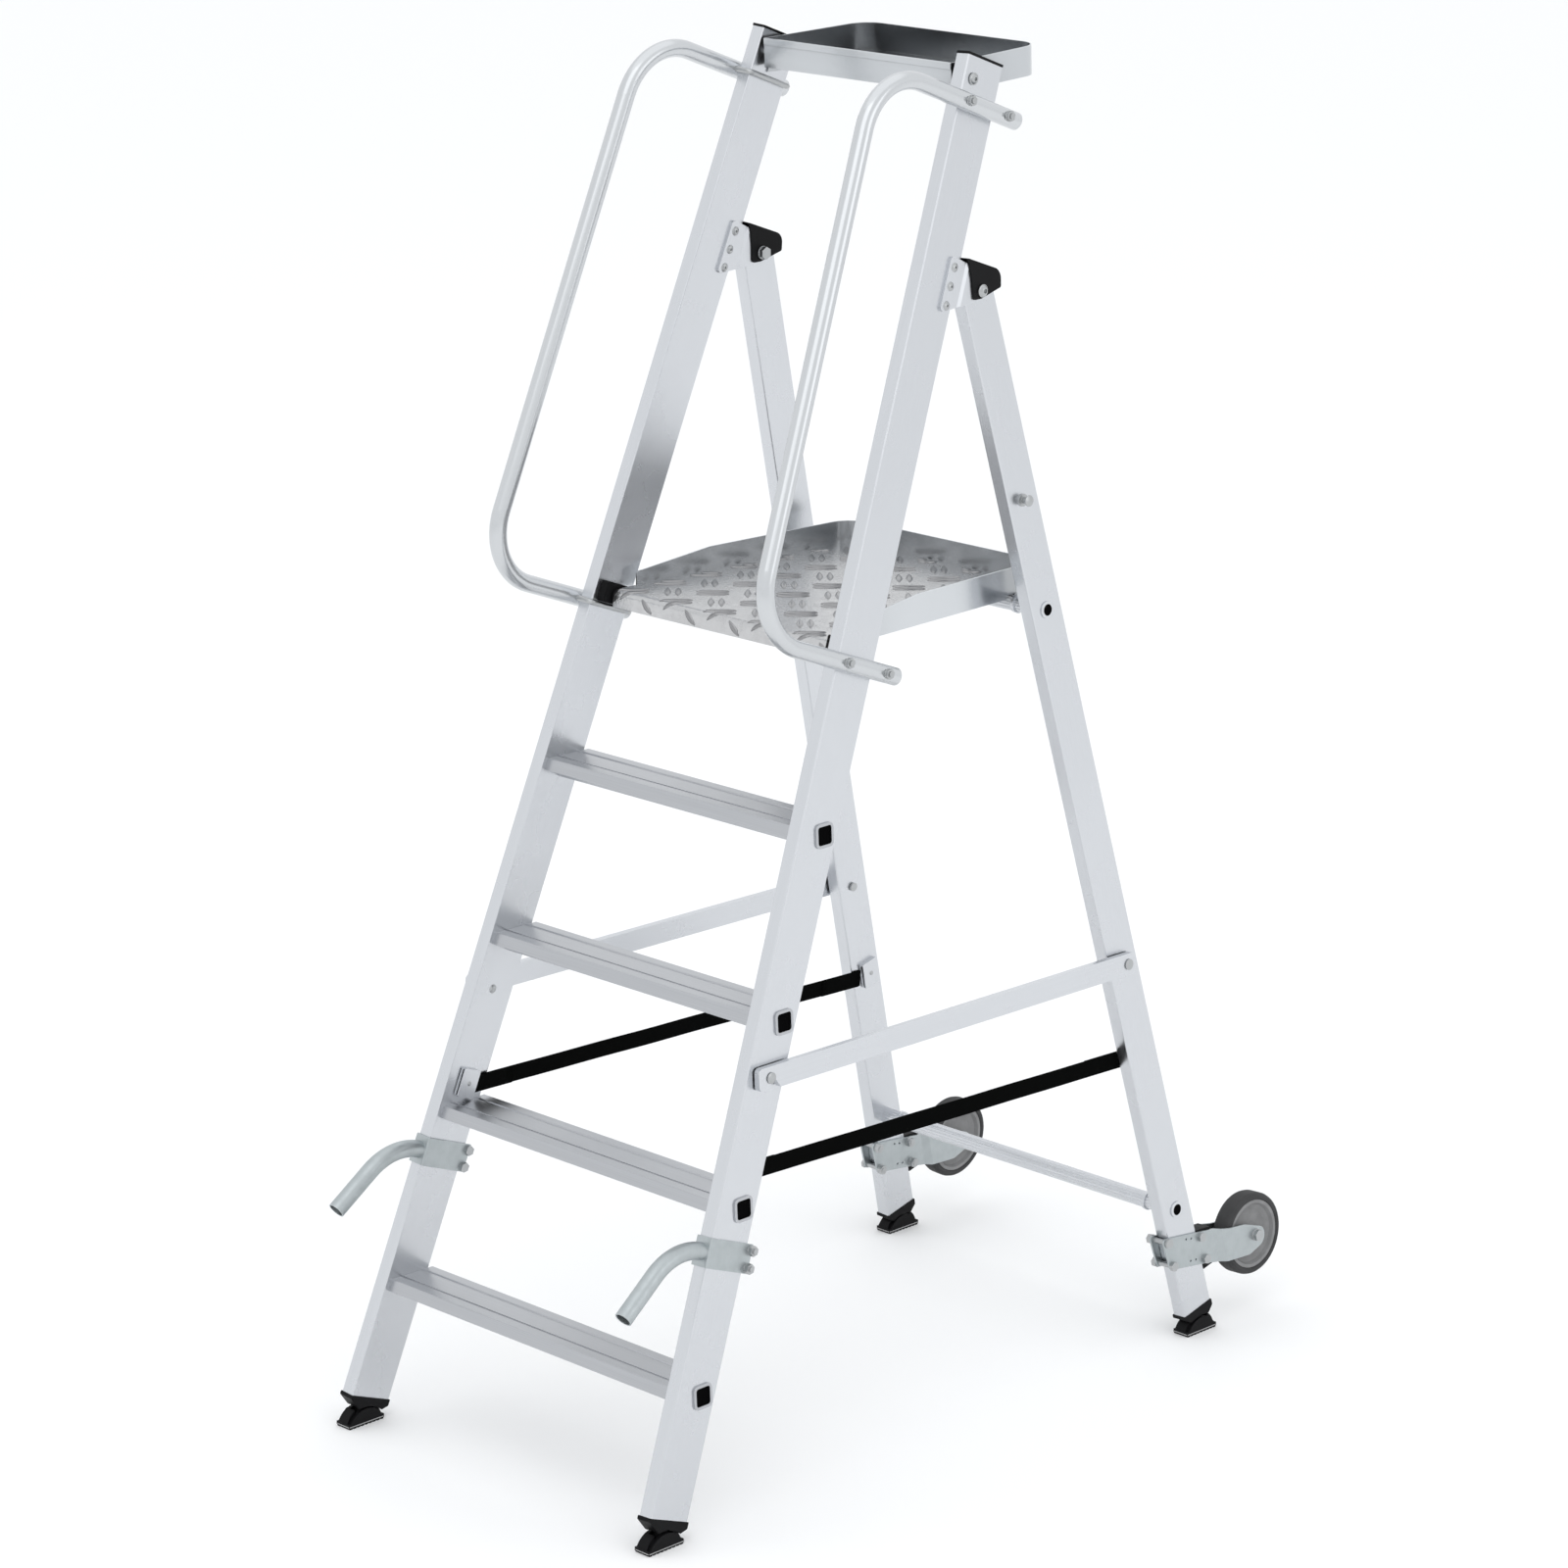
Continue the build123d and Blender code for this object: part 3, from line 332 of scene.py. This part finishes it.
# ------------------------------------------------------------------- the deck
LUG_LENGTH, LUG_WIDTH, LUG_HEIGHT = 0.048, 0.0105, 0.0020
LUG_PAIR = 0.0148                   # spacing of the two lugs of a pair
LUG_PITCH = (0.087, 0.072)
LUG_START = (-0.014, 0.0051)
LUG_ROWS, LUG_COLUMNS = range(-1, 8), range(-4, 5)
LUG_RINGS = ((1.0, 1.0, -0.15), (0.93, 0.78, 0.6), (0.8, 0.4, 1.0), (0.55, 0.08, 1.06))
LUG_AROUND = 20
LUG_STATIONS = 24                   # where a lug's length is tested against the sheet
LUG_FEWEST = 8
NOSE_RADIUS = 0.009
NOSE_BEND = NOSE_RADIUS * math.pi / 2
NOSE_DROP = 0.0148                  # flat part of the nose below its bend
DECK_TAPER = 0.0649
CORNER = 0.037
SIDE_MARGIN, REAR_MARGIN = 0.0055, 0.004
STRAY_SIDE, STRAY_REAR, STRAY_NOSE = 0.006, 0.006, 0.038


class Deck:
    """The deck sheet: v runs back from the nose line, and on down the nose where negative."""

    def __init__(self):
        low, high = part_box("platform_plate")
        self.front = low.y
        self.top = high.z
        self.depth = high.y - low.y
        self.half = high.x
        self.deepest = self.depth - NOSE_RADIUS - REAR_MARGIN

    def point(self, x, v, rise):
        """Point at a height above the sheet."""
        flat = self.front + NOSE_RADIUS
        if v >= 0:
            return x, flat + v, self.top + rise
        if v > -NOSE_BEND:
            angle = -v / NOSE_RADIUS
            reach = NOSE_RADIUS + rise
            return x, flat - reach * math.sin(angle), self.top - NOSE_RADIUS + reach * math.cos(angle)
        return x, self.front - rise, self.top - NOSE_RADIUS + v + NOSE_BEND

    def half_width(self, v):
        return self.half - DECK_TAPER * max(v, 0.0)

    def inside(self, x, v):
        """Clear of the toe board, its rounded corners and the nose's lower edge."""
        corner = min(1.0, max(0.0, v - self.deepest + CORNER) / CORNER)
        inset = CORNER * (1 - math.sqrt(1 - corner * corner))
        lengthways = -NOSE_BEND - NOSE_DROP < v < self.deepest
        return lengthways and abs(x) < self.half_width(v) - SIDE_MARGIN - inset

    def near(self, x, v):
        """Loose test for the middle of a lug."""
        lengthways = -STRAY_NOSE < v < self.depth - STRAY_REAR
        return lengthways and abs(x) < self.half_width(v) + STRAY_SIDE


def lug_rings():
    """Almond outlines from the sheet up to the crest: (along, across, height) shares."""
    rings = []
    for length, width, rise in LUG_RINGS:
        ring = []
        for k in range(LUG_AROUND):
            turn = 2 * math.pi * k / LUG_AROUND
            along = math.cos(turn)
            across = 0.0
            if k % (LUG_AROUND // 2):
                across = math.copysign((1 - abs(along) ** 1.7) ** 0.9, math.sin(turn))
            ring.append((along * length / 2, across * width / 2, rise))
        rings.append(ring)
    return rings


def lug_reach(deck, x, v, turn):
    """Shares of a lug's length that lie on the sheet."""
    shares = [k / LUG_STATIONS - 0.5 for k in range(LUG_STATIONS + 1)]
    return [share for share in shares
            if deck.inside(x + math.cos(turn) * share * LUG_LENGTH,
                           v + math.sin(turn) * share * LUG_LENGTH)]


def lug_points(deck, rings, x, v, turn, reach):
    """Points of one lug, shortened to its reach."""
    size = reach[-1] - reach[0]
    middle = (reach[-1] + reach[0]) / 2
    points = []
    for ring in rings:
        for share, across, rise in ring:
            along = middle + share * size
            px = x + math.cos(turn) * along * LUG_LENGTH - math.sin(turn) * across * LUG_WIDTH
            pv = v + math.sin(turn) * along * LUG_LENGTH + math.cos(turn) * across * LUG_WIDTH
            points.append(deck.point(px, pv, rise * LUG_HEIGHT))
    return points


def lug_places():
    """Middle and direction of every lug: pairs that lean one way and the other by turns."""
    for row in LUG_ROWS:
        for column in LUG_COLUMNS:
            for shift, turn in ((0.0, math.pi / 4), (0.5, -math.pi / 4)):
                x = LUG_START[0] + (column + shift) * LUG_PITCH[0]
                v = LUG_START[1] + (row + shift) * LUG_PITCH[1]
                for side in (-0.5, 0.5):
                    apart = side * LUG_PAIR
                    yield x - math.sin(turn) * apart, v + math.cos(turn) * apart, turn


def build_lugs():
    """Raised lugs of the tread plate, all in one piece."""
    deck = Deck()
    rings = lug_rings()
    vertices, faces = [], []
    for x, v, turn in lug_places():
        reach = lug_reach(deck, x, v, turn)
        if not deck.near(x, v) or len(reach) < LUG_FEWEST:
            continue
        start = len(vertices)
        crest = start + (len(rings) - 1) * LUG_AROUND
        vertices.extend(lug_points(deck, rings, x, v, turn, reach))
        faces.extend(wall_faces(start, LUG_AROUND, len(rings) - 1))
        faces.append(tuple(range(crest, crest + LUG_AROUND)))
    mesh_object("deck_lugs", vertices, faces, MATERIALS["lug"], "platform")


# -------------------------------------------------------------------- straps
STRAP_HALF = 0.0125
STRAP_THICK, SEWN_THICK = 0.0009, 0.0007      # half thicknesses
STRAP_LEAN = 0.055
END_REACH = 0.03                              # how far from its end a CAD point still counts
SEWN_END, SEWN_LENGTH, SEWN_SET = 0.004, 0.085, -0.0017
ROW_PITCH, FEWEST_ROWS, ACROSS = 0.012, 6, 8
WAVE_HEIGHT, WAVE_TURN = 0.0005, 31.0
EDGE_THINNING = 0.35


class Strap:
    """Ends and directions of a webbing strap, read from its CAD bar."""

    def __init__(self, side):
        self.node_name = f"strap_{side}"
        points = [vertex.co.copy() for vertex in NODES[self.node_name].data.vertices]
        nearest = min(point.y for point in points)
        farthest = max(point.y for point in points)
        start = [point for point in points if point.y < nearest + END_REACH]
        end = [point for point in points if point.y > farthest - END_REACH]
        self.start = sum(start, Vector()) / len(start)
        finish = sum(end, Vector()) / len(end)
        self.length = (finish - self.start).length
        self.along = (finish - self.start).normalized()
        self.outward = Vector((1 if self.start.x > 0 else -1, 0, STRAP_LEAN)).normalized()
        self.up = self.along.cross(self.outward)
        if self.up.z < 0:
            self.up = -self.up

    def point(self, s, across, depth):
        return self.start + self.along * s + self.up * across + self.outward * depth


def band_points(strap, start, end, offset, thick, rows):
    """Points of one layer of webbing, row by row: inner face, then outer face."""
    points = []
    for i in range(rows + 1):
        s = start + (end - start) * i / rows
        wave = WAVE_HEIGHT * math.sin(s * WAVE_TURN) * math.sin(math.pi * s / strap.length)
        for face in (-1, 1):
            for j in range(ACROSS + 1):
                share = 2 * j / ACROSS - 1
                edge = 1 - EDGE_THINNING * abs(share) ** 6
                depth = offset + wave + face * thick * edge
                points.append(strap.point(s, share * STRAP_HALF, depth))
    return points


def band_faces(base, rows):
    """Both faces, both edges and both ends of one layer."""
    row = 2 * (ACROSS + 1)
    faces = []
    for i in range(rows):
        for j in range(ACROSS):
            p = base + i * row + j
            q = p + ACROSS + 1
            faces.append((p, p + 1, p + row + 1, p + row))
            faces.append((q, q + row, q + row + 1, q + 1))
        for j in (0, ACROSS):
            p = base + i * row + j
            q = p + ACROSS + 1
            faces.append((p, p + row, q + row, q))
    for i in (0, rows):
        for j in range(ACROSS):
            p = base + i * row + j
            q = p + ACROSS + 1
            faces.append((p, q, q + 1, p + 1))
    return faces


def build_strap(side):
    """Webbing with a faint wave, doubled and stitched back at both ends."""
    strap = Strap(side)
    layers = [(0.0, strap.length, 0.0, STRAP_THICK),
              (SEWN_END, SEWN_LENGTH, SEWN_SET, SEWN_THICK),
              (strap.length - SEWN_LENGTH, strap.length - SEWN_END, SEWN_SET, SEWN_THICK)]
    vertices, faces = [], []
    for start, end, offset, thick in layers:
        rows = max(FEWEST_ROWS, int((end - start) / ROW_PITCH))
        faces.extend(band_faces(len(vertices), rows))
        vertices.extend(band_points(strap, start, end, offset, thick, rows))
    made = mesh_object(f"webbing_{side}", vertices, faces, MATERIALS["webbing"], "front_ladder")
    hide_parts(strap.node_name)
    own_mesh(made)


# ------------------------------------------------------------- small details
SOLE_PROUD, SOLE_THICK, SOLE_CORNER = 0.00025, 0.0012, 0.002
CORNER_STEPS = 4
RIVET_AROUND = 24
RIVET_SET = 0.0032                  # from the middle of a clip to its inner face
RIVET_PROFILE = [(-0.002, 0.0030), (0.0, 0.0034), (0.0007, 0.0031), (0.0013, 0.0021),
                 (0.0015, 0.0010), (0.0012, 0.0006)]


def rounded_outline(x0, x1, y0, y1, radius):
    """Rectangle with rounded corners, as (x, y) points."""
    outline = []
    corners = ((x1 - radius, y1 - radius), (x0 + radius, y1 - radius),
               (x0 + radius, y0 + radius), (x1 - radius, y0 + radius))
    for quarter, (cx, cy) in enumerate(corners):
        for k in range(CORNER_STEPS + 1):
            turn = math.radians(90 * (quarter + k / CORNER_STEPS))
            outline.append((cx + radius * math.cos(turn), cy + radius * math.sin(turn)))
    return outline


def build_sole_line(end, side):
    """Light grey layer that shows as a thin line round the edge of a sole, just under the shoe."""
    low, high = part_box(f"sole_{end}_{side}")
    outline = rounded_outline(low.x - SOLE_PROUD, high.x + SOLE_PROUD,
                              low.y - SOLE_PROUD, high.y + SOLE_PROUD, SOLE_CORNER)
    count = len(outline)
    vertices = [(x, y, z) for z in (high.z - SOLE_THICK, high.z) for x, y in outline]
    faces = wall_faces(0, count, 1)
    faces.append(tuple(reversed(range(count))))
    faces.append(tuple(range(count, 2 * count)))
    mesh_object(f"sole_line_{end}_{side}", vertices, faces, MATERIALS["line"],
                f"shoe_{end}_{side}", smooth=False)


def lathe(name, origin, axis, profile, material, body):
    """Turned piece: profile holds (distance along the axis, radius) points."""
    first = axis.orthogonal().normalized()
    second = axis.cross(first)
    vertices = []
    for rise, radius in profile:
        for k in range(RIVET_AROUND):
            turn = 2 * math.pi * k / RIVET_AROUND
            spoke = first * math.cos(turn) + second * math.sin(turn)
            vertices.append(origin + axis * rise + spoke * radius)
    last = (len(profile) - 1) * RIVET_AROUND
    faces = wall_faces(0, RIVET_AROUND, len(profile) - 1)
    faces.append(tuple(range(last, last + RIVET_AROUND)))
    faces.append(tuple(reversed(range(RIVET_AROUND))))
    mesh_object(name, vertices, faces, material, body)


def build_clip_rivet(end, side):
    """Domed rivet through the middle of a strap clip."""
    outward = Strap(side).outward
    clip = [vertex.co for vertex in NODES[f"strap_clips_{end}"].data.vertices]
    points = [point for point in clip if point.x * outward.x > 0]
    low = Vector([min(point[i] for point in points) for i in range(3)])
    high = Vector([max(point[i] for point in points) for i in range(3)])
    body = "front_ladder" if end == "front" else "rear_frame"
    lathe(f"clip_rivet_{end}_{side}", (low + high) / 2 - outward * RIVET_SET, -outward,
          RIVET_PROFILE, MATERIALS["bolt"], body)


# -------------------------------------------------------------------- staging
FLOOR_HALF = 120.0
FLOOR_COLOUR = (0.95, 0.95, 0.95, 1.0)
SKY_COLOUR, SKY_STRENGTH = (0.97, 0.985, 1.0, 1.0), 1.05

# name, place, target, size in metres, power in watts
LIGHTS = (("key", (2.5, -5.0, 6.5), (0, 0, 0.8), 6.0, 60.0),
          ("overhead", (0.0, 0.5, 8.0), (0, 0, 0), 9.0, 60.0),
          ("side", (7.0, 2.0, 3.0), (0, 0, 1.0), 4.0, 30.0))

CAMERA_PLACE = (4.98029, -5.07303, 2.89385)
CAMERA_DOWN, CAMERA_TURN = 0.275843, 0.783053
CAMERA_LENS, CAMERA_SENSOR, CAMERA_REACH = 119.58, 36.0, 400.0


def area_light(name, place, target, size, power):
    data = bpy.data.lights.new(name, "AREA")
    data.shape = "SQUARE"
    data.size = size
    data.energy = power
    light = bpy.data.objects.new(name, data)
    light.location = place
    light.rotation_mode = "QUATERNION"
    light.rotation_quaternion = (Vector(target) - Vector(place)).to_track_quat("-Z", "Y")
    bpy.context.scene.collection.objects.link(light)


def build_floor():
    half = FLOOR_HALF
    corners = [(-half, -half, 0), (half, -half, 0), (half, half, 0), (-half, half, 0)]
    mesh = bpy.data.meshes.new("floor")
    mesh.from_pydata(corners, [], [(0, 1, 2, 3)])
    floor = bpy.data.objects.new("floor", mesh)
    bpy.context.scene.collection.objects.link(floor)
    shader = Shader("studio_floor")
    shader.set(Base_Color=FLOOR_COLOUR, Roughness=0.9)
    mesh.materials.append(shader.material)


def build_light():
    """Even pale surroundings and three soft lamps, shown so that a white floor stays white."""
    world = bpy.data.worlds.new("studio")
    bpy.context.scene.world = world
    world.use_nodes = True
    background = world.node_tree.nodes["Background"]
    background.inputs["Color"].default_value = SKY_COLOUR
    background.inputs["Strength"].default_value = SKY_STRENGTH
    bpy.context.scene.view_settings.view_transform = "Standard"
    for light in LIGHTS:
        area_light(*light)


def build_camera():
    data = bpy.data.cameras.new("camera")
    data.sensor_width = CAMERA_SENSOR
    data.lens = CAMERA_LENS
    data.clip_end = CAMERA_REACH
    camera = bpy.data.objects.new("camera", data)
    camera.location = CAMERA_PLACE
    camera.rotation_euler = (math.pi / 2 - CAMERA_DOWN, 0.0, CAMERA_TURN)
    bpy.context.scene.collection.objects.link(camera)
    bpy.context.scene.camera = camera


for node_name in NODES:
    dress(node_name)
build_lugs()
for side in SIDES:
    build_strap(side)
    for end in ENDS:
        build_sole_line(end, side)
        build_clip_rivet(end, side)
build_floor()
build_light()
build_camera()
